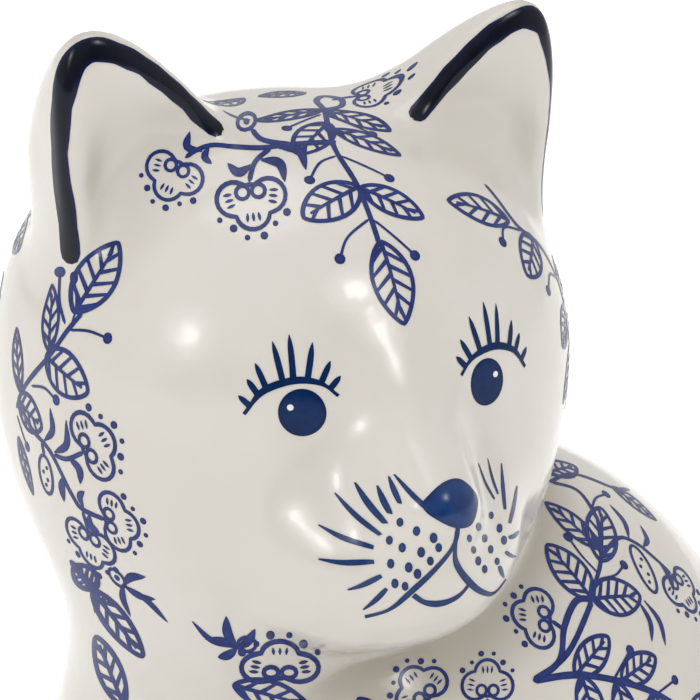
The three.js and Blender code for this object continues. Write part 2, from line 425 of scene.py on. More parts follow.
class Film:
    """Thin closed films of colour on the skin, gathered into one piece."""

    def __init__(self, seed=7):
        self.work = []
        self.random = np.random.default_rng(seed)

    def lay(self, paper, drawn, lift, edge, faces):
        """Takes drawn places with their height over the skin, how near each is to a line's
        edge (1 on it, 0 in the middle), and the faces between them."""
        self.work.append((paper, drawn, lift, edge, faces))

    def line(self, paper, drawn, widths, closed=False, lift=FILM):
        """A line through drawn places: a left edge, a middle, a right edge and a keel in the skin."""
        drawn = np.asarray(drawn, float)
        n = len(drawn)
        waver = np.interp(np.arange(n) / 4, np.arange(n), self.random.uniform(0.92, 1.08, n))
        widths = np.broadcast_to(widths, n) * waver
        ahead = np.roll(drawn, -1, 0) - np.roll(drawn, 1, 0) if closed else np.gradient(drawn, axis=0)
        ahead /= np.linalg.norm(ahead, axis=1, keepdims=True) + 1e-9
        side = np.stack([-ahead[:, 1], ahead[:, 0]], 1) * widths[:, None] / 2
        faces = []
        for i in range(n if closed else n - 1):
            j = (i + 1) % n
            for a, b in ((0, 1), (1, 2), (2, 3), (3, 0)):
                faces.append((a * n + i, b * n + i, b * n + j, a * n + j))
        if not closed:
            faces += [(3 * n, 2 * n, n, 0), (n - 1, 2 * n - 1, 3 * n - 1, 4 * n - 1)]
        places = np.vstack([drawn + side, drawn, drawn - side, drawn])
        heights = np.repeat([lift, lift, lift, -SINK], n)
        self.lay(paper, places, heights, np.repeat([1.0, 0.0, 1.0, 1.0], n), faces)

    def patch(self, paper, outline, middle=None, lift=FILM):
        """A filled shape: rings from its middle out to its outline, over the same rings sunk in the skin."""
        outline = np.asarray(outline, float)
        following = np.roll(outline, -1, 0)
        if (outline[:, 0] * following[:, 1] - outline[:, 1] * following[:, 0]).sum() < 0:
            outline = outline[::-1]
        middle = outline.mean(0) if middle is None else np.asarray(middle, float)
        n = len(outline)
        rings = max(1, math.ceil(np.linalg.norm(outline - middle, axis=1).max() / RING_STEP))
        shares = np.arange(1, rings + 1) / rings
        drawn = np.vstack([middle[None]] + [middle + (outline - middle) * s for s in shares])
        one = len(drawn)
        rim = np.concatenate([[0.0], np.repeat(shares, n)])
        faces = []
        for i in range(n):
            j = (i + 1) % n
            faces += [(0, 1 + i, 1 + j), (one, one + 1 + j, one + 1 + i)]
            for r in range(rings - 1):
                a, b = 1 + r * n, 1 + (r + 1) * n
                faces += [(a + i, b + i, b + j, a + j), (one + a + i, one + a + j, one + b + j, one + b + i)]
            last = 1 + (rings - 1) * n
            faces.append((last + i, one + last + i, one + last + j, last + j))
        edge = np.concatenate([rim**3, np.ones(one)])
        self.lay(paper, np.vstack([drawn, drawn]), np.repeat([lift, -SINK], one), edge, faces)

    def piece(self, name, material):
        """Puts all that was laid onto the skin, as one object."""
        points, normals, edges, faces = [], [], [], []
        count = 0
        for paper in {id(work[0]): work[0] for work in self.work}.values():
            mine = [work for work in self.work if work[0] is paper]
            surface = paper.place(np.vstack([work[1] for work in mine]))
            out = facing(skin, surface)
            start = 0
            for _, drawn, lift, edge, own in mine:
                span = slice(start, start + len(drawn))
                start += len(drawn)
                if stretch(drawn, surface[span], own) > paper.most_stretch:
                    continue
                points.append(surface[span] + out[span] * lift[:, None])
                normals.append(out[span])
                faces += [tuple(count + i for i in face) for face in own]
                edges.append(edge)
                count += len(drawn)
        made = mesh_object(name, np.vstack(points), faces, np.vstack(normals))
        keep_values(made, "edge", np.concatenate(edges))
        made.data.materials.append(material)
        return made


# ---- Lines and shapes of the print, drawn in millimetres ----


def even(points, step=0.8):
    """The same line with places at even distances."""
    points = np.asarray(points, float)
    lengths = np.concatenate([[0], np.cumsum(np.linalg.norm(np.diff(points, axis=0), axis=1))])
    at = np.linspace(0, lengths[-1], max(3, int(lengths[-1] / step) + 2))
    return np.stack([np.interp(at, lengths, points[:, k]) for k in range(points.shape[1])], 1)


def curve(*points, step=0.8):
    if len(points) == 2:
        return even(points, step)
    return even(catmull_rom(points, 10), step)


def turned(points, angle, origin=(0, 0)):
    c, s = math.cos(angle), math.sin(angle)
    p = np.asarray(points, float)
    return np.stack([c * p[..., 0] - s * p[..., 1], s * p[..., 0] + c * p[..., 1]], -1) + np.asarray(origin)


def circle(centre, radius, count=14, tall=1.0):
    a = np.linspace(0, 2 * math.pi, count, endpoint=False)
    return np.stack([centre[0] + radius * np.cos(a), centre[1] + radius * tall * np.sin(a)], 1)


def rounded(line, width, tip=0.5):
    """Widths for a line with soft round ends; `tip` is an end's length over the width."""
    lengths = np.concatenate([[0], np.cumsum(np.linalg.norm(np.diff(line, axis=0), axis=1))])
    near_end = np.minimum(lengths, lengths[-1] - lengths)
    share = np.clip(near_end / (width * tip), 0, 1)
    return width * np.maximum(np.sqrt(1 - (1 - share) ** 2), 0.3)


def pointed(line, width, start=0.3, end=0.06):
    """Widths that swell in the middle, with each end a share of the width."""
    t = np.linspace(0, 1, len(line))
    return width * np.maximum(np.sin(np.pi * t) ** 0.7, start + (end - start) * t)


def angle_of(base, tip):
    return math.atan2(tip[1] - base[1], tip[0] - base[0])


class Print:
    """The cobalt print's vocabulary, drawn on one paper. A mirrored one draws left for right."""

    def __init__(self, film, paper, mirror=False):
        self.film = film
        self.paper = paper
        self.flip = np.array([-1.0 if mirror else 1.0, 1.0])

    def line(self, drawn, widths, closed=False):
        self.film.line(self.paper, drawn * self.flip, widths, closed)

    def patch(self, outline):
        self.film.patch(self.paper, outline * self.flip)

    def stem(self, *points, width=1.05):
        line = curve(*points)
        self.line(line, rounded(line, width))

    def berry(self, *points, radius=1.2):
        line = curve(*points)
        self.line(line, rounded(line, 0.6))
        self.patch(circle(points[-1], radius, 12))

    def sickle(self, base, tip, bow=0.2, width=1.9):
        """A curved leaf without veins, bowed to one side."""
        base, tip = np.array(base, float), np.array(tip, float)
        across = np.array([base[1] - tip[1], tip[0] - base[0]])
        line = curve(base, (base + tip) / 2 + across * bow, tip, step=0.6)
        self.line(line, pointed(line, width))

    def leaf(self, base, tip, width, full=0.75, veins=4):
        """An outlined leaf: a midrib and slanting side veins that alternate."""
        length = math.dist(base, tip)
        angle = angle_of(base, tip)

        def half(t):
            return width / 2 * np.sin(np.pi * np.clip(t, 0, 1) ** 0.92) ** full

        t = 0.5 - 0.5 * np.cos(np.linspace(0, math.pi, max(12, int(length * 1.2))))
        upper = np.stack([t * length, half(t)], 1)
        self.line(turned(np.vstack([upper, upper[::-1][1:-1] * [1, -1]]), angle, base), 1.0, closed=True)
        rib = even(turned([[0, 0], [length * 0.88, 0]], angle, base), 1.2)
        self.line(rib, np.linspace(1.0, 0.6, len(rib)))
        for side in (1, -1):
            for k in range(veins):
                start = (k + (0.75 if side > 0 else 0.35)) / (veins + 0.9)
                end = min(start + 0.17, 0.97)
                slant = [[start * length, 0], [end * length, side * half(end) * 0.96]]
                vein = even(turned(slant, angle, base), 1.2)
                self.line(vein, np.linspace(0.95, 0.7, len(vein)))

    def pansy(self, base, angle, size=1.0, tall=1.0, dots=6):
        """A three-lobed flower on its stem's end, with two eyes at the base and dots beyond."""
        lobes = [((-3.7, 3.4), 3.6), ((3.7, 3.4), 3.6), ((0, 6.6), 3.6)]
        heart = np.array([0, 3.6])
        around = np.linspace(0, 2 * math.pi, 40, endpoint=False)
        rays = np.stack([np.cos(around), np.sin(around)], 1)
        reach = np.full(len(rays), 2.9)
        for middle, radius in lobes:
            along = rays @ (np.array(middle) - heart)
            off = ((np.array(middle) - heart) ** 2).sum() - along**2
            hit = along + np.sqrt(np.maximum(radius**2 - off, 0))
            reach = np.maximum(reach, np.where(off < radius**2, hit, 0))

        def put(points):
            return turned(np.asarray(points, float) * size * np.array([1, tall]), angle - math.pi / 2, base)

        self.line(put(heart + rays * reach[:, None]), 0.95 * size, closed=True)
        for x in (-1.7, 1.7):
            self.line(put(circle((x, 2.2), 1.4, 12)), 0.85 * size, closed=True)
        for middle, radius in lobes:
            outward = math.atan2(middle[1] - 2.6, middle[0])
            for k in (-1, 0, 1):
                dash = even(put(turned([[0.1, k * 1.15], [1.9, k * 1.35]], outward, middle)), 0.8)
                self.line(dash, rounded(dash, 0.65 * size, 0.4))
        for k in range(dots):
            bearing = math.radians(28 + 124 * k / (dots - 1))
            ray = np.array([math.cos(bearing), math.sin(bearing)])
            beyond = reach[int(round(bearing / (2 * math.pi) * len(rays))) % len(rays)] + 1.8
            self.patch(circle(put(heart + ray * beyond), (0.6 + 0.25 * (k % 2)) * size, 9))

    def tuft(self, base, tips, width=1.6):
        """A plume of narrow leaves from one place."""
        for k, tip in enumerate(tips):
            self.sickle(base, tip, (-1) ** k * 0.12, width)

    def bud(self, middle, angle, size=1.0):
        """A small round bud with a dot in it."""
        self.line(turned(circle((0, 0), 2.1 * size, 14, 0.8), angle, middle), 0.8 * size, closed=True)
        self.patch(circle(middle, 0.7 * size, 8))

    def fruit(self, base, tip, width=4.6):
        """An oval fruit with seeds."""
        length = math.dist(base, tip)
        angle = angle_of(base, tip)
        oval = circle((length / 2, 0), length / 2, 22, width / length)
        self.line(turned(oval, angle, base), 0.85, closed=True)
        for x, y in ((0.3, 0.7), (0.45, -0.8), (0.62, 0.6), (0.78, -0.3)):
            self.patch(circle(turned((x * length, y), angle, base), 0.5, 8))


def crown_spray(p):
    """The sprig that hangs from the crown to between the eyes."""
    p.stem((5.5, 28), (2, 18.5), (0, 10), (0.5, 0), (0.5, -6), (0.5, -15.5), width=1.2)
    p.stem((5.5, 28), (6.5, 34), (10, 37.5), (12.5, 34), (10.5, 29.5), (5.5, 28), width=1.5)
    p.leaf((1, -15), (2, -33), 9.2, veins=5)
    p.leaf((0.5, -1.2), (-13.5, -6.5), 8.8, 0.62)
    p.leaf((1, -1.5), (12.5, -10), 6.6, 0.68)
    p.leaf((3, 18), (14, 7.5), 5.8)
    p.leaf((5.7, 27.5), (15.5, 16), 6.2)
    p.leaf((3, 21), (-8.5, 11), 7.6, 0.62)
    p.leaf((5, 28), (-12, 26), 4.2)
    p.berry((0, -9.5), (-6, -13), (-9, -17.3))
    p.berry((1, -9.8), (8, -18.7))
    p.berry((0.4, 8.3), (8.5, 0.5))
    p.berry((-0.7, 8.5), (-5, 7), (-9, 2.6))
    p.berry((3.4, 25.6), (-6.8, 21))
    p.berry((4.3, 24.8), (11, 15.2))
    p.sickle((-13, 26.5), (-17.5, 30), 0.2, 1.4)
    p.leaf((7.5, 42), (-4, 42.5), 5.5)
    p.leaf((-8, 43), (-20, 36), 5.5)
    p.stem((10.5, 34), (14, 34), (16, 33))
    p.pansy((15.5, 33), math.radians(-25), 0.85)


def brow_branch(p):
    """The branch that runs from the crown's sprig under the right ear, with two flowers."""
    bough = [(11.1, 49.6), (2.2, 49.1), (-4.8, 48.3), (-10.7, 48.5), (-15.9, 48.9)]
    p.stem(*bough, (-19.6, 47.6), (-21.7, 46.1))
    p.pansy((-22.6, 45.7), math.radians(-116), 0.88, 1.05)
    p.stem((-3, 48.3), (-6.5, 45.2), (-7.8, 40.9))
    p.pansy((-7.8, 41), math.radians(-83), 1.03)
    p.sickle((-18, 47.6), (-20.7, 51.9), 0.45, 1.7)
    p.sickle((-16.6, 48.3), (-15.9, 44.8), -0.35, 1.6)
    p.sickle((-7.4, 44.5), (-12.5, 44.9), 0.35, 2.0)
    p.sickle((-5.2, 45.7), (0, 40.9), 0.3, 2.1)
    p.sickle((-1.3, 48.3), (4.6, 43.5), 0.3, 2.1)
    p.stem((1.5, 49), (-4.8, 50), (-7.4, 52.4))
    p.bud((-8.4, 54), 0.6)


def cheek_spray(p):
    """The long sprig down the side of the face."""
    p.stem((5, 20), (2, 16), (-3.2, 9), (-13, 0), (-17.8, -6), width=1.2)
    p.stem((-16.5, -4), (-10, -8.5), (-2.7, -12), (3, -20.5), (5.5, -23), (12, -24), width=1.2)
    p.leaf((-3.3, 10), (-7, 23), 6)
    p.leaf((-4.3, 8.8), (10.2, 4.5), 9, 0.62)
    p.leaf((-15.2, -1.7), (-19.7, 11), 5.5)
    p.leaf((-16.5, -3.8), (-5.5, -7), 8, 0.62)
    p.berry((2.6, 16.8), (2.5, 21), (0.3, 26))
    p.berry((2.4, 15.8), (8, 16.8), (13.5, 16.5))
    p.berry((-9.6, 1.1), (-4, 2), (0.4, 0.5))
    p.berry((-17.6, -7.7), (-13.3, -13.6))
    p.sickle((-4.7, -9.8), (-1.8, -1.8), -0.25)
    p.sickle((-1.2, -11.6), (3.7, -3.1), -0.25)
    p.stem((-1.4, -12.2), (3, -12), (8.5, -9.2))
    p.pansy((8, -9.2), math.radians(32), 1.05)
    p.sickle((3.6, -11.6), (6.3, -17), 0.3, 2.2)
    p.sickle((0.8, -16.8), (-0.4, -22.8), -0.1, 2.4)
    p.sickle((6, -22.5), (7.2, -18.5), 0.3, 1.8)
    p.pansy((11.5, -24), 0, 0.95)
    p.sickle((7.5, -24), (9.5, -27.5), -0.4, 2.2)
    p.stem((5.5, -23.5), (6, -28))
    p.pansy((6.3, -27.5), math.radians(-105), 1.0)
    p.bud((10.8, -38.5), -0.8, 1.1)
    p.tuft((12, -40), [(19.5, -36.5), (20, -42), (21, -47.5), (10.5, -48)], 1.9)
    p.stem((-6, -10.5), (-5.5, -13.5))
    p.fruit((-5.7, -13.5), (-6.4, -22.5), 5.2)
    p.leaf((-18, -13), (-14.5, -25), 4.6)


def jaw_spray(p):
    """The end of the cheek's sprig, which runs over the filled crease onto the chest."""
    p.stem((-46.7, -41.3), (-43.5, -45.6), (-41.7, -48))
    p.leaf((-40.9, -47.4), (-45.9, -42.6), 4.5, 0.65)
    p.leaf((-41.7, -48), (-30.9, -62.2), 4.6, 0.65)
    p.leaf((-35, -73), (-41.1, -58), 5, 0.7)
    p.sickle((-41.9, -49.5), (-41.3, -52.8), 0.2, 1.4)
    p.sickle((-39.8, -50), (-38, -49.4), 0.2, 1.3)
    p.stem((-35, -73), (-34, -80), (-36, -88))
    p.leaf((-34.5, -82), (-27, -90), 6, 0.65)


def cheek_top(p):
    """The big leaf and the berry at the top of the cheek's sprig."""
    p.leaf((-45.7, 12.6), (-36.3, 27.6), 8.7, veins=5)
    p.berry((-47.8, 10), (-49, 15), (-48.9, 21.3))


def temple_spray(p):
    """The sprig that comes round the side of the head under the left ear."""
    p.stem((-8.5, 22.5), (-10.5, 12), (-4.5, 4), (-1.5, -5.5), (-1.5, -12), (2, -24), width=1.2)
    p.leaf((-12.5, 14), (-24, 26.5), 7.5)
    p.leaf((-6.6, 7.2), (-18.5, 3), 8.4, 0.62)
    p.leaf((-1.5, -11), (-10.5, -16.5), 7.5, 0.65)
    p.leaf((0, -20), (-8.5, -30), 6.5, 0.65)
    p.berry((-10.5, 10.4), (-16, 13.8), (-20, 12))
    p.berry((-1.5, -4.5), (-7, -1.5), (-11.8, -3.5))
    p.leaf((-1.5, -6), (12, -4), 7, 0.65)
    p.berry((-1.5, -9), (9, -12))
    p.pansy((2, -23.5), math.radians(-60), 1.0)
    p.sickle((-1, -14), (7, -19), 0.25)


def chest_spray(p):
    """Flowers that show under the chin, pressed on from the cat's front left."""
    p.pansy((-1.1, -67.6), math.radians(90), 1.15, 0.74)
    p.bud((-8.3, -59.6), 0, 0.95)
    p.tuft((-10.4, -60.4), [(-12.8, -53.5), (-6.5, -56.3), (-14.6, -62.4)], 2.1)
    p.tuft((-10.4, -60.4), [(-20.2, -54.6), (-17.4, -58.5)], 1.2)
    p.pansy((31.5, -72), math.radians(128), 0.85)
    p.pansy((44, -71.5), math.radians(90), 0.76, 1.1)
    p.stem((44, -71.5), (43, -78), (38, -84))
    p.stem((31.5, -72), (35, -79), (38, -84), (40, -96))
    p.leaf((-11, -68.5), (5, -73), 6)
    p.stem((22, -72.5), (20, -80), (24, -90))
    p.leaf((21, -78), (16, -71.5), 4.5)
    p.leaf((40, -88), (52, -84), 6.5)


def shoulder_spray(p):
    """The big forked sprig on the back of the left shoulder."""
    p.stem((-22, -7.5), (-13.7, -5.5), (-8.7, 1), (-2.6, 5.6), (2, 5), width=1.5)
    p.stem((-20, -7.5), (-10.2, -4.2), (1.5, 4.5), width=1.3)
    p.stem((-22, -7.5), (-11.7, -9.4), (-1.4, -13.4), (10.3, -19.2), (20, -26), width=1.6)
    p.stem((-9, 0.5), (-11, 3.3))
    p.pansy((-10.6, 3.2), math.radians(152), 0.95)
    p.leaf((1.9, 5), (-1.5, 19.5), 8.8, 0.68, 5)
    p.leaf((11.4, 16), (6, 29.5), 6.4)
    p.leaf((10, 13), (21, 26), 7.8, 0.65, 5)
    p.leaf((2.2, 5), (16.5, 3.3), 8.8, 0.62, 5)
    p.berry((7.2, 10.3), (5.5, 15), (5, 20))
    p.berry((6.6, 8.9), (12, 9), (16.4, 11))
    p.berry((-1.3, -13.2), (6.4, -8.1))
    p.berry((10.3, -19.2), (18, -17.1))
    p.stem((2, 5), (4.6, 7.9), (10, 13), (16.4, 22), (17.6, 25.5), (18, 31.7), (12.3, 35))
    p.berry((17.6, 26), (22, 29), (27.2, 30.3))
    p.sickle((15.3, 2), (14.3, -7.5), 0.15, 1.5)
    p.sickle((17.3, 2), (18.5, -9), 0.15, 1.5)
    p.stem((11, 14), (20, 17.7), (25, 16), (28.5, 12.5), (32.5, 8))
    p.fruit((23, 15.5), (22.3, 3.5), 5.2)
    p.sickle((23.5, 17.5), (25.2, 27), -0.15, 1.6)
    p.sickle((27, 15), (31.5, 21), -0.2, 1.6)
    p.sickle((30, 10.5), (30, 3.5), 0.15)
    p.pansy((32.5, 8), math.radians(-70), 1.0)
    p.leaf((-11, -9.6), (1.5, -4), 6.6, 0.65)
    p.leaf((0.9, -14), (13.5, -11), 6.6, 0.65)
    p.leaf((-9.7, -10.5), (-10.5, -24), 7, 0.65)
    p.leaf((-1, -14), (-1, -28), 6.4)
    p.leaf((9, -19), (6, -31), 6.4)
    p.leaf((20, -26), (33, -24), 7)
    p.leaf((20, -26), (27, -37), 7)
    p.leaf((14, 38), (26, 40), 6)
    p.leaf((33, 33), (42, 24), 6)
    p.stem((12, 35), (22, 37), (33, 33), (42, 34))


def wreath_spray(p):
    """A sprig that fills an open stretch: a bent stem with leaves and berries by turns."""
    p.stem((-4, 26), (2, 15), (0, 3), (-5, -9), (-2, -22), width=1.2)
    p.leaf((-4, 25), (-8, 38), 7.5, veins=5)
    p.leaf((-1, 20), (11, 27), 6.8, 0.65)
    p.leaf((2, 15), (-11, 19), 6.4, 0.65)
    p.berry((1.8, 12), (9, 17), (14, 16))
    p.leaf((0.5, 6), (14, 6), 8, 0.62)
    p.berry((0, 3), (-8, 8), (-13, 6))
    p.leaf((-2, -2), (-16, -4), 6.6)
    p.sickle((-3, -5), (5, -2), -0.25)
    p.stem((-5, -9), (3, -9), (8, -12))
    p.pansy((7.6, -11.8), math.radians(-25), 0.95)
    p.sickle((-5, -10), (-13, -13), 0.3)
    p.fruit((-6.5, -14), (-14, -20), 5)
    p.sickle((-3.5, -14), (3, -18), 0.25)
    p.pansy((-2, -22), math.radians(-95), 1.0)
    p.berry((-4, -6), (-10, -9.5), (-19, -11))


# Where the sprigs of the open stretches are: bearing, height and spin in degrees, and whether mirrored.
HEAD_WREATHS = [
    (112, 2, 10, False),
    (-125, 15, -20, True),
    (180, 22, 0, False),
    (148, -4, 20, True),
    (-158, -6, -15, False),
]
BODY_WREATHS = [
    (0, -5, 0, False),
    (38, 8, -15, True),
    (-38, 8, 15, False),
    (-85, 42, 10, True),
    (-75, 2, 0, False),
    (75, 2, 0, True),
    (120, -4, 10, False),
    (-112, 8, -10, True),
    (-135, 42, -20, True),
    (150, 5, 0, True),
    (-150, 5, 0, False),
    (180, 30, 0, True),
]


# ---- The painted face and ears, in the head's own (right, up) ----

# Each eye: its side (1 for the cat's left), middle, radius, height over width, and lid round the middle.
EYES = [
    (-1, (-21.15, 9.45), 4.7, 1.04, [(-11, -0.1), (-7.2, 4.6), (-1.2, 6.6), (4, 5.8), (7.2, 3.2)]),
    (1, (20.8, 10.4), 4.45, 1.1, [(11.2, 0.6), (8, 4.9), (2.5, 6.9), (-3.2, 5.8), (-6.9, 2.9)]),
]

# Each lash: how far along the lid its root is, its lean in radians, and its length.
LASHES = [
    (0.10, -0.75, 2.9),
    (0.22, -0.5, 3.7),
    (0.34, -0.3, 5.4),
    (0.47, -0.13, 8.2),
    (0.59, 0.03, 9.0),
    (0.71, 0.25, 7.6),
    (0.82, 0.5, 4.9),
    (0.92, 0.75, 3.4),
]


def eye(paint, glint, paper, side, centre, radius, tall, lid_places):
    """An iris with a glint, a lid stroke over it and eight lashes."""
    x, z = centre
    paint.patch(paper, circle(centre, radius, 36, tall))
    glint.patch(paper, circle((x + side * 2.3, z + 1.2), 0.65, 10), lift=FILM * 2)
    lid = curve(*(np.array(lid_places) + centre), step=0.7)
    paint.line(paper, lid, pointed(lid, 1.55, 0.5, 0.45))
    for share, lean, length in LASHES:
        root = lid[int(share * (len(lid) - 1))]
        tip = root + length * np.array([-side * math.sin(lean), math.cos(lean)])
        lash = even([root, tip], 0.7)
        t = np.linspace(0, 1, len(lash))
        paint.line(paper, lash, 1.22 * np.maximum(1 - t**6, 0.12))


def nose(paint, paper):
    """The filled, rounded triangle of the nose."""
    top = [(29.3, -29.2), (34, -24.7), (38, -23.7), (41.4, -26.8), (41.8, -30)]
    low = [(40.3, -33.8), (36.5, -34.2), (31.5, -31.6), (29.3, -29.2)]
    outline = catmull_rom(top + low, 6)
    paint.patch(paper, outline[:-1], (37, -29))


def mouth(paint, paper):
    """The two lines that part under the nose, and the short one that joins them below."""
    for points in (
        [(1.3, -9.7), (1.3, -13), (0.2, -16.8), (-2.3, -21.2), (-6, -25.4), (-9.7, -29), (-14, -30.8)],
        [(1.3, -11), (1.4, -14.5), (3, -19.2), (6.8, -24.4), (11.1, -28.4), (16, -30.8), (20, -29.2)],
        [(-5.2, -26), (-2.6, -28), (1.3, -28.9), (5.2, -28), (8, -25.6)],
    ):
        line = curve(*points)
        paint.line(paper, line, pointed(line, 1.5, 0.7, 0.55))


def hair(paint, paper, root, tip, width):
    """One whisker: a stroke that sags a little and ends in a point."""
    sag = (root[0] * 0.45 + tip[0] * 0.55, (root[1] + tip[1]) / 2 - 0.4)
    line = curve(root, sag, tip, step=0.7)
    t = np.linspace(0, 1, len(line))
    swell = np.sin(np.pi * (0.15 + 0.8 * t)) ** 0.6 * (1 - 0.3 * t)
    paint.line(paper, line, width * np.maximum(swell, 0.12))


def whiskers(paint, face, view):
    """Nine hairs on the right of the muzzle, and seven finer ones on the left, which faces away."""
    near = [
        ((-4.2, -6.4), (-8.1, -0.7)),
        ((-8.7, -5.6), (-8.9, -1.2)),
        ((-10.2, -8), (-10.7, -3.4)),
        ((-10.9, -10.2), (-13.4, -3.9)),
        ((-11.6, -12.8), (-16.8, -6.4)),
        ((-12.7, -15.6), (-20.9, -12.4)),
        ((-12.8, -18.5), (-22, -18.8)),
        ((-11.6, -21.4), (-17.6, -24.6)),
        ((-10.6, -24.2), (-14.6, -29)),
    ]
    for k, (root, tip) in enumerate(near):
        hair(paint, face, root, tip, 0.95 if k in (1, 2) else 1.3)
    far = [
        ((45.5, -28.1), (42, -20.3), 0.6),
        ((46.3, -27), (44, -19.2), 0.6),
        ((47.8, -30.3), (47, -20.3), 0.9),
        ((48.8, -33.3), (50.4, -25.2), 0.95),
        ((48.6, -36.4), (50.8, -35), 1.1),
        ((47.9, -39.5), (50.2, -40.5), 1.1),
        ((46.6, -42.6), (47.6, -45.2), 1.1),
    ]
    for root, tip, width in far:
        hair(paint, view, root, tip, width)


def freckles(paint, paper):
    """Thirteen dots beside the mouth on the right of the muzzle, and eleven smaller ones on the left."""
    near = [(25, -33.1), (28.6, -35), (32.3, -36.5), (22.7, -37), (25.5, -38.6), (29.6, -39.6), (33.4, -38.6)]
    near += [(23, -42.1), (26.9, -42.9), (31.6, -41.5), (23.9, -46.4), (28.8, -44.3), (26.1, -47)]
    far = [(44.8, -31.6), (42.1, -34.1), (46.6, -34.4), (40.1, -36.6), (43.4, -36.6), (47.6, -37)]
    far += [(41, -39.1), (44.7, -39), (42, -41.5), (46.1, -41.6), (43.4, -43.3)]
    for places, size, tall in ((near, 0.82, 1.3), (far, 0.58, 1.6)):
        for k, place in enumerate(places):
            paint.patch(paper, circle(place, size + 0.06 * (k % 3 - 1), 10, tall))


def ear_rim(name, side, material):
    """The dark band brushed along an ear's front edge, over its tip and down its outer side."""
    front = [(21.7, -17.8, 57.4), (29, -17.1, 64), (34.5, -17.4, 69.1), (40.6, -17.2, 73.8)]
    tip = [(48.6, -16.7, 77), (53.5, -15.9, 75), (56, -15.1, 69)]
    outer = [(56.6, -13.6, 58), (55.9, -13, 47), (54.4, -13.2, 31.8)]
    raised = RIGHT_EAR_LIFT if side < 0 else 0
    path = catmull_rom([(side * x, y, z + raised) for x, y, z in front + tip + outer], 12)
    middle = settle(skin, out_of_head(even(path, 1.1)), 6)
    n = len(middle)
    random = np.random.default_rng(5 + side)
    waver = np.interp(np.arange(n) / 3, np.arange(n), random.uniform(-0.25, 0.25, n))
    broad = np.interp(np.arange(n) / n, [0, 0.35, 0.5, 1], [0.82, 0.86, 1.14, 1.2])
    half = rounded(middle, 5.2, 0.45) * broad / 2 + waver
    across = 7
    rows = {across // 2: middle}
    for way in (1, -1):
        here = middle
        for k in range(1, across // 2 + 1):
            ahead = np.gradient(here, axis=0)
            over = np.cross(facing(skin, here), ahead)
            over /= np.linalg.norm(over, axis=1, keepdims=True)
            here = settle(skin, here + over * way * (half / (across // 2))[:, None], 2)
            rows[across // 2 + way * k] = here
    top = np.vstack([rows[k] for k in range(across)])
    surface = np.vstack([top, middle])
    out = facing(skin, surface)
    lift = np.concatenate([np.repeat([0.08, 0.16, 0.2, 0.2, 0.2, 0.16, 0.08], n), np.full(n, -0.3)])
    faces = []
    for i in range(n - 1):
        for a in range(across + 1):
            b = (a + 1) % (across + 1)
            faces.append((a * n + i, a * n + i + 1, b * n + i + 1, b * n + i))
    faces += [tuple(a * n for a in range(across + 1)), tuple(a * n + n - 1 for a in range(across, -1, -1))]
    made = outward(mesh_object(name, surface + out * lift[:, None], faces))
    made.data.normals_split_custom_set_from_vertices(out.tolist())
    keep_values(made, "edge", np.concatenate([np.repeat([1, 0.5, 0, 0, 0, 0.5, 1.0], n), np.ones(n)]))
    made.data.materials.append(material)
    return made


# ---- Cutting the skin into its castings ----


def half_space(name, normal, offset):
    """A great block below the plane, as a cutter."""
    normal = np.array(normal, float) / np.linalg.norm(normal)
    side = np.cross(normal, (0, 1, 0) if abs(normal[1]) < 0.9 else (1, 0, 0))
    side /= np.linalg.norm(side)
    third = np.cross(normal, side)
    top = normal * offset
    ends = [top, top - normal * 400]
    square = [400 * (a * side + b * third) for a, b in ((-1, -1), (1, -1), (1, 1), (-1, 1))]
    points = np.array([end + corner for end in ends for corner in square])
    faces = [(3, 2, 1, 0), (4, 5, 6, 7), (0, 1, 5, 4), (1, 2, 6, 5), (2, 3, 7, 6), (3, 0, 4, 7)]
    return outward(mesh_object(name, points, faces))


def outward(made):
    """Turns a closed mesh's faces so that they look out."""
    graph = bmesh.new()
    graph.from_mesh(made.data)
    bmesh.ops.recalc_face_normals(graph, faces=graph.faces)
    graph.to_mesh(made.data)
    graph.free()
    return made


def cut(made, cutter, operation):
    """Applies a boolean to a mesh object."""
    step = made.modifiers.new("cut", "BOOLEAN")
    step.operation = operation
    step.solver = "MANIFOLD"
    step.object = cutter
    graph = bpy.context.evaluated_depsgraph_get()
    result = bpy.data.meshes.new_from_object(made.evaluated_get(graph))
    made.modifiers.clear()
    made.data = result
    return made


def copy_of(made, name):
    twin = made.copy()
    twin.data = made.data.copy()
    twin.name = name
    bpy.context.scene.collection.objects.link(twin)
    return twin


def shade_from(made, outer, inner):
    """Gives each corner the form's own direction where its face lies on that form, and
    keeps how enclosed the outer form is at each point, for the painted shade in the creases."""
    mesh = made.data
    mesh.polygons.foreach_set("use_smooth", [True] * len(mesh.polygons))
    points = points_of(made)
    ways = facing(outer, points)
    off = np.abs(outer(points)) > NEAR_FORM
    ways[off] = -facing(inner, points[off])
    flat = np.empty(len(mesh.polygons) * 3, np.float32)
    mesh.polygons.foreach_get("normal", flat)
    sizes = np.empty(len(mesh.polygons), np.int32)
    mesh.polygons.foreach_get("loop_total", sizes)
    of_face = np.repeat(flat.reshape(-1, 3), sizes, axis=0)
    corner = np.empty(len(mesh.loops), np.int32)
    mesh.loops.foreach_get("vertex_index", corner)
    smooth = ways[corner]
    lies = (smooth * of_face).sum(-1) > 0.75
    mesh.normals_split_custom_set(np.where(lies[:, None], smooth, of_face).tolist())
    # painted shade: the more skin lies near a point along its normal, the darker its crease is painted
    space = outer(points + ways * CREASE_SHADE_REACH)
    crease_shade_share = np.clip((CREASE_SHADE_REACH - space) / CREASE_SHADE_REACH, 0, 1)
    crease_shade_share[off] = 0
    keep_values(made, "crease_shade_share", crease_shade_share)


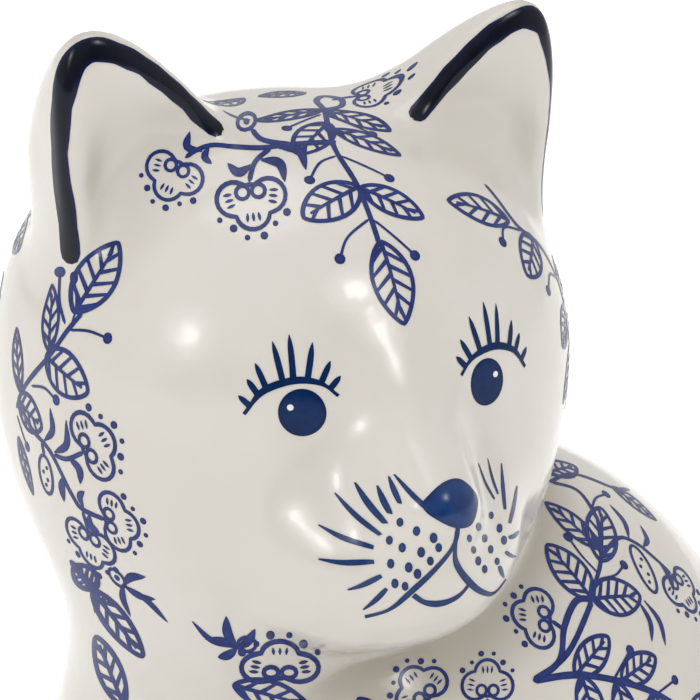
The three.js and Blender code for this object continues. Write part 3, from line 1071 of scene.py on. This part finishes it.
def castings():
    """The head, the two ears and the body, cut from one skin, as hollow as the CAD's."""
    whole = mesh_object("whole", *net(skin, *SKIN_BOX, SKIN_STEP))
    hollow = mesh_object("hollow", *net(cavity, *CAVITY_BOX, CAVITY_STEP))
    seam_normal = np.array([0, math.sin(SEAM_TILT), math.cos(SEAM_TILT)])
    below = half_space("below", seam_normal, seam_normal @ SEAM_CENTRE)
    vent = mesh_object("vent", *tube((*VENT_CENTRE, -6), (*VENT_CENTRE, 30), VENT_RADIUS, 40))
    for cutter in (whole, hollow, vent):
        outward(cutter)
    trunk_part = cut(copy_of(whole, "glazed_body"), below, "INTERSECT")
    parts = {"body": cut(cut(trunk_part, hollow, "DIFFERENCE"), vent, "DIFFERENCE")}
    head = cut(cut(copy_of(whole, "glazed_head"), below, "DIFFERENCE"), hollow, "DIFFERENCE")
    for side, name in ((1, "left"), (-1, "right")):
        direction = out_of_head(np.array([side * EAR_LEAN[0], 0, EAR_LEAN[1]])) - HEAD_CENTRE
        root = half_space("root", direction, direction @ HEAD_CENTRE + EAR_ROOT)
        parts[name] = cut(copy_of(whole, f"glazed_ear_{name}"), root, "DIFFERENCE")
        head = cut(head, root, "INTERSECT")
        bpy.data.objects.remove(root)
    parts["head"] = head
    for cutter in (whole, hollow, below, vent):
        bpy.data.objects.remove(cutter)
    for made in parts.values():
        shade_from(made, skin, cavity)
    return parts


def tube(low, high, radius, sides):
    """Points and faces of a closed round bar."""
    low, high = np.array(low, float), np.array(high, float)
    rim = circle((0, 0), radius, sides)
    flat = np.zeros((sides, 1))
    points = np.vstack([np.hstack([rim, flat]) + low, np.hstack([rim, flat]) + high])
    faces = [(i, (i + 1) % sides, sides + (i + 1) % sides, sides + i) for i in range(sides)]
    faces += [tuple(range(sides))[::-1], tuple(range(sides, 2 * sides))]
    return points, faces


# ---- Materials ----


class Nodes:
    """A material's node tree with short ways to add to it."""

    def __init__(self, name):
        self.material = bpy.data.materials.new(name)
        self.material.use_nodes = True
        self.tree = self.material.node_tree
        self.shader = next(n for n in self.tree.nodes if n.type == "BSDF_PRINCIPLED")
        self.place = self.tree.nodes.new("ShaderNodeTexCoord").outputs["Object"]

    def link(self, source, target):
        if hasattr(source, "is_output"):
            self.tree.links.new(source, target)
        else:
            target.default_value = source

    def noise(self, scale, detail=3.0, rough=0.5):
        node = self.tree.nodes.new("ShaderNodeTexNoise")
        node.inputs["Scale"].default_value = scale
        node.inputs["Detail"].default_value = detail
        node.inputs["Roughness"].default_value = rough
        self.link(self.place, node.inputs["Vector"])
        return node.outputs["Fac"]

    def cells(self, scale, feature="F1"):
        node = self.tree.nodes.new("ShaderNodeTexVoronoi")
        node.feature = feature
        node.inputs["Scale"].default_value = scale
        self.link(self.place, node.inputs["Vector"])
        return node.outputs["Distance"]

    def attribute(self, name):
        node = self.tree.nodes.new("ShaderNodeAttribute")
        node.attribute_name = name
        return node.outputs["Fac"]

    def spread(self, value, low, high, to_low=0.0, to_high=1.0):
        node = self.tree.nodes.new("ShaderNodeMapRange")
        node.interpolation_type = "SMOOTHSTEP"
        slots = ("Value", "From Min", "From Max", "To Min", "To Max")
        for slot, amount in zip(slots, (value, low, high, to_low, to_high)):
            self.link(amount, node.inputs[slot])
        return node.outputs["Result"]

    def maths(self, kind, a, b):
        node = self.tree.nodes.new("ShaderNodeMath")
        node.operation = kind
        self.link(a, node.inputs[0])
        self.link(b, node.inputs[1])
        return node.outputs[0]

    def mix(self, share, a, b):
        node = self.tree.nodes.new("ShaderNodeMix")
        node.data_type = "RGBA"
        self.link(share, node.inputs[0])
        self.link(a, node.inputs[6])
        self.link(b, node.inputs[7])
        return node.outputs[2]

    def bump(self, height, strength, depth):
        node = self.tree.nodes.new("ShaderNodeBump")
        node.inputs["Strength"].default_value = strength
        node.inputs["Distance"].default_value = depth
        self.link(height, node.inputs["Height"])
        self.link(node.outputs["Normal"], self.shader.inputs["Normal"])

    def set(self, **values):
        for name, value in values.items():
            self.link(value, self.shader.inputs[name.replace("_", " ")])
        return self.material


def rgb(red, green, blue):
    """A colour as it is seen on a screen, 0 to 255."""
    shares = [v / 255 for v in (red, green, blue)]
    return (*(v / 12.92 if v <= 0.04045 else ((v + 0.055) / 1.055) ** 2.4 for v in shares), 1.0)


def glaze_material():
    """Warm off-white gloss with faint clouds, a few pinholes, and painted shade that greys the creases."""
    m = Nodes("off_white_glaze")
    clouds = m.spread(m.noise(28, 4), 0.35, 0.65)
    base = m.mix(clouds, rgb(213, 208, 200), rgb(218, 214, 207))
    # painted shade: creases are greyed towards rgb(182, 176, 164), standing in for the shade that falls in
    # them
    painted_crease_shade = m.spread(m.attribute("crease_shade_share"), 0.08, 0.8, 0, 0.9)
    base = m.mix(painted_crease_shade, base, rgb(182, 176, 164))
    speck = m.spread(m.cells(210), 0.045, 0.07, 1, 0)
    sparse = m.spread(m.noise(60, 2), 0.66, 0.70)
    base = m.mix(m.maths("MULTIPLY", speck, sparse), base, rgb(150, 132, 108))
    m.bump(m.maths("ADD", m.noise(130, 2), m.maths("MULTIPLY", m.noise(900, 2), 0.12)), 0.22, 0.0006)
    rough = m.spread(m.noise(45, 4), 0.3, 0.7, 0.10, 0.16)
    return m.set(Base_Color=base, Roughness=rough, Specular_IOR_Level=0.5, IOR=1.5)


def foot_material():
    """Bare fired clay under the foot."""
    m = Nodes("bare_clay")
    base = m.mix(m.noise(400, 5), rgb(214, 204, 188), rgb(190, 176, 156))
    m.bump(m.noise(1800, 3), 0.4, 0.0003)
    return m.set(Base_Color=base, Roughness=0.85)


def colour_material(name, dark, light, edge, rough=0.14, gloss=0.3):
    """A ceramic colour under the same gloss: it pools darker at a line's edge and breaks up a little."""
    m = Nodes(name)
    cloud = m.spread(m.noise(260, 4, 0.6), 0.3, 0.7)
    base = m.mix(cloud, dark, light)
    rim = m.spread(m.attribute("edge"), 0.35, 1.0, 0, 0.6)
    base = m.mix(rim, base, edge)
    m.bump(m.noise(130, 2), 0.2, 0.0006)
    return m.set(Base_Color=base, Roughness=rough, Specular_IOR_Level=gloss, IOR=1.5)


def felt_material():
    """Dark grey wool felt: tangled hairs and lint."""
    m = Nodes("dark_grey_felt")
    hairs = m.cells(900, "SMOOTH_F1")
    base = m.mix(m.spread(hairs, 0.1, 0.8), rgb(40, 42, 48), rgb(62, 64, 70))
    lint = m.spread(m.noise(2600, 4, 0.7), 0.55, 0.75)
    base = m.mix(lint, base, rgb(84, 86, 92))
    m.bump(m.maths("ADD", hairs, m.noise(3000, 4, 0.7)), 0.7, 0.0004)
    return m.set(Base_Color=base, Roughness=0.95, Sheen_Weight=0.4)


def ground_material():
    """Matt white, with a painted glow that grows further away: it keeps the distance bright and leaves the
    floor darker round the cat.
    """
    m = Nodes("pale_ground")
    base = m.mix(m.noise(3, 3), rgb(240, 240, 240), rgb(246, 246, 246))
    away = m.tree.nodes.new("ShaderNodeVectorMath")
    away.operation = "LENGTH"
    m.link(m.place, away.inputs[0])
    # painted light: the floor glows from about 0.12 m out, fully from 0.38 m, and not at all near the cat
    glow = m.spread(away.outputs["Value"], 0.12, 0.38, 0.0, 0.45)
    return m.set(Base_Color=base, Roughness=0.9, Emission_Color=rgb(255, 255, 255), Emission_Strength=glow)


def plain_white():
    """The bare glaze that a glint leaves in the iris."""
    m = Nodes("glint_white")
    base = m.mix(m.noise(300, 3), rgb(228, 228, 226), rgb(238, 238, 236))
    return m.set(Base_Color=base, Roughness=0.14)


# ---- Small parts ----


def felt_pad(name, place):
    """A felt disc with a soft edge, and a slightly sunk face."""
    x, y = place
    rim = [(-0.5, 0), (-0.1, 0.5), (0, 1.2), (-0.3, 1.75), (-0.8, 2.0)]
    count = 48
    points, faces = [], []
    for inset, z in rim:
        wave = 1 + 0.006 * np.sin(7 * np.linspace(0, 2 * math.pi, count, endpoint=False) + x)
        ring = circle((0, 0), 1, count) * ((PAD_RADIUS + inset) * wave)[:, None]
        points.append(np.column_stack([ring[:, 0] + x, ring[:, 1] + y, np.full(count, z)]))
    rings = len(points)
    points = np.vstack(points + [[[x, y, 0], [x, y, 2.0]]])
    low, high = len(points) - 2, len(points) - 1
    for i in range(count):
        j = (i + 1) % count
        faces += [(low, j, i), (high, (rings - 1) * count + i, (rings - 1) * count + j)]
        for r in range(rings - 1):
            a, b = r * count, (r + 1) * count
            faces.append((a + i, a + j, b + j, b + i))
    return mesh_object(name, points, faces)


# ---- Setting ----


def ground():
    """A wide pale floor under the cat."""
    square = np.array([(-1, -1, 0), (1, -1, 0), (1, 1, 0), (-1, 1, 0)], float)
    made = mesh_object("ground", square * GROUND_REACH, [(0, 1, 2, 3)])
    made.data.materials.append(ground_material())


def metres(point):
    return (np.asarray(point, float) - BOX_MIDDLE) * MM


GROUND_REACH = 6000
OVERHEAD_HEIGHT = 1500
OVERHEAD_SIZE = 0.9  # metres
OVERHEAD_POWER = 3.6  # watts
ROOM_LIGHT = 0.72

# Soft round patches of the room's light: bearing, height, and the brightness it changes from
# and to between two angles round its middle, in degrees.
ROOM_PATCHES = [
    (*VIEW, 70, 26, 0.0, -0.60),  # darker behind the camera, so that the glaze there reflects little
    (9, 22.5, 14, 3, 0.0, 2.6),
    (9, 22.5, 6, 1, 0.0, 7.0),
    (90, 38, 13, 3, 0.0, 2.8),
    (90, 38, 5.5, 1, 0.0, 8.0),
    (25, 48, 65, 10, 0.0, 0.42),
]


def patch_of_light(tree, way, bearing, height, far, near, outside, inside):
    """Brightness that changes smoothly between two angles round a direction."""
    toward = tree.nodes.new("ShaderNodeVectorMath")
    toward.operation = "DOT_PRODUCT"
    toward.inputs[1].default_value = tuple(spot(bearing, height)[0])
    ramp = tree.nodes.new("ShaderNodeMapRange")
    ramp.interpolation_type = "SMOOTHSTEP"
    ramp.inputs["From Min"].default_value = math.cos(math.radians(far))
    ramp.inputs["From Max"].default_value = math.cos(math.radians(near))
    ramp.inputs["To Min"].default_value = outside
    ramp.inputs["To Max"].default_value = inside
    tree.links.new(way, toward.inputs[0])
    tree.links.new(toward.outputs["Value"], ramp.inputs["Value"])
    return ramp.outputs["Result"]


def white_room():
    """A white room with soft windows that are brightest in their middles."""
    world = bpy.data.worlds.new("white_room")
    world.use_nodes = True
    tree = world.node_tree
    back = tree.nodes["Background"]
    back.inputs["Color"].default_value = (1.0, 0.995, 0.985, 1.0)
    way = tree.nodes.new("ShaderNodeTexCoord").outputs["Generated"]
    total = None
    for place in ROOM_PATCHES:
        light = patch_of_light(tree, way, *place)
        adding = tree.nodes.new("ShaderNodeMath")
        adding.operation = "ADD"
        adding.inputs[1].default_value = ROOM_LIGHT
        if total is not None:
            tree.links.new(total, adding.inputs[1])
        tree.links.new(light, adding.inputs[0])
        total = adding.outputs[0]
    tree.links.new(total, back.inputs["Strength"])
    return world


def lighting():
    """A softbox overhead in a white room with two soft windows."""
    light = bpy.data.lights.new("overhead", "AREA")
    light.shape = "SQUARE"
    light.size = OVERHEAD_SIZE
    light.energy = OVERHEAD_POWER
    made = bpy.data.objects.new("overhead", light)
    bpy.context.scene.collection.objects.link(made)
    made.location = Vector(metres(HEAD_CENTRE + np.array([0, -60, OVERHEAD_HEIGHT])))
    bpy.context.scene.world = white_room()
    bpy.context.scene.view_settings.view_transform = "Standard"


def camera():
    """A long lens at the cat's front left, a little above, close on the face."""
    back, right, upward = spot(*VIEW)
    lens = bpy.data.cameras.new("close_up")
    lens.sensor_width = SENSOR_WIDTH
    lens.lens = LENS_LENGTH
    lens.clip_start = 0.05
    made = bpy.data.objects.new("close_up", lens)
    bpy.context.scene.collection.objects.link(made)
    aim = HEAD_CENTRE + right * VIEW_OFFSET[0] + upward * VIEW_OFFSET[1]
    made.matrix_world = Matrix(np.column_stack([right, upward, back]).tolist()).to_4x4()
    made.location = Vector(metres(aim + back * VIEW_DISTANCE))
    bpy.context.scene.camera = made


# ---- The cat ----


def glazed_castings():
    """The castings under their glaze, each in the place of its CAD parts."""
    parts = castings()
    glaze, clay = glaze_material(), foot_material()
    nodes = {
        "body": ("body_shell", "tail", "neck_slip_joint"),
        "head": ("head_shell",),
        "left": ("left_ear",),
        "right": ("right_ear",),
    }
    for key, made in parts.items():
        made.data.materials.clear()
        made.data.materials.append(glaze)
        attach(made, "root")
        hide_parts(*nodes[key])
    bare_foot(parts["body"], clay)


def bare_foot(made, clay):
    """The glaze is wiped off where the body stands on its foot."""
    mesh = made.data
    mesh.materials.append(clay)
    points = points_of(made)
    for face in mesh.polygons:
        low = points[face.vertices[0]][2] < FOOT_HEIGHT + 0.6
        face.material_index = int(low and face.normal.z < -0.7)


def felt_pads():
    felt = felt_material()
    for node, place in PAD_PLACES.items():
        made = felt_pad(f"{node}_disc", place)
        made.data.materials.append(felt)
        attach(made, "root")
        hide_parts(node)


def put_on(made):
    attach(made, "root")


def wreaths(film, places, **globe):
    """Fills the open stretches with sprigs."""
    for bearing, height, spin, mirror in places:
        paper = Globe(bearing=bearing, height=height, spin=spin, **globe)
        wreath_spray(Print(film, paper, mirror))


def printed_sprigs():
    """The cobalt print on the head and on the body."""
    cobalt = colour_material("cobalt_print", rgb(22, 38, 100), rgb(38, 58, 126), rgb(14, 26, 78))
    head = Film(7)
    face_on = {"centre": (0, 0, 0), "radius": 62, "on_head": True}
    crown = Print(head, Globe(bearing=0, height=55, **face_on))
    crown_spray(crown)
    from_front_left = Print(head, ViewPaper())
    brow_branch(from_front_left)
    cheek_top(from_front_left)
    cheek_spray(Print(head, Globe(bearing=-75, height=5, **face_on)))
    temple_spray(Print(head, Globe(bearing=60, height=25, **face_on)))
    wreaths(head, HEAD_WREATHS, **face_on)
    put_on(head.piece("head_print", cobalt))
    trunk_on = {"centre": (0, 12, 72), "radius": 88}
    body_film = Film(8)
    below_face = Print(body_film, ViewPaper())
    chest_spray(below_face)
    jaw_spray(below_face)
    shoulder_spray(Print(body_film, Globe(bearing=85, height=50, **trunk_on)))
    wreaths(body_film, BODY_WREATHS, **trunk_on)
    put_on(body_film.piece("body_print", cobalt))


def painted_face():
    """Eyes with lashes and glints, and the nose, mouth, whiskers and freckles."""
    eyes, glints, muzzle = Film(3), Film(4), Film(5)
    face, view = FacePaper(), ViewPaper()
    for one in EYES:
        eye(eyes, glints, face, *one)
    nose(muzzle, view)
    mouth(muzzle, face)
    whiskers(muzzle, face, view)
    freckles(muzzle, view)
    deep = (rgb(1, 34, 78), rgb(6, 42, 90), rgb(1, 26, 66))
    soft = (rgb(12, 44, 98), rgb(28, 60, 112), rgb(8, 34, 86))
    blue = colour_material("deep_cobalt_paint", *deep, 0.12, 0.18)
    soft_blue = colour_material("soft_cobalt_paint", *soft, 0.12, 0.32)
    put_on(eyes.piece("eye_paint", blue))
    put_on(muzzle.piece("muzzle_paint", soft_blue))
    put_on(glints.piece("eye_glints", plain_white()))


def painted_ears():
    dark = colour_material("dark_rim_paint", rgb(5, 8, 20), rgb(10, 15, 34), rgb(18, 30, 78), 0.12, 0.25)
    for side, name in ((1, "left"), (-1, "right")):
        put_on(ear_rim(f"ear_rim_{name}", side, dark))


glazed_castings()
printed_sprigs()
painted_face()
painted_ears()
felt_pads()
ground()
lighting()
camera()
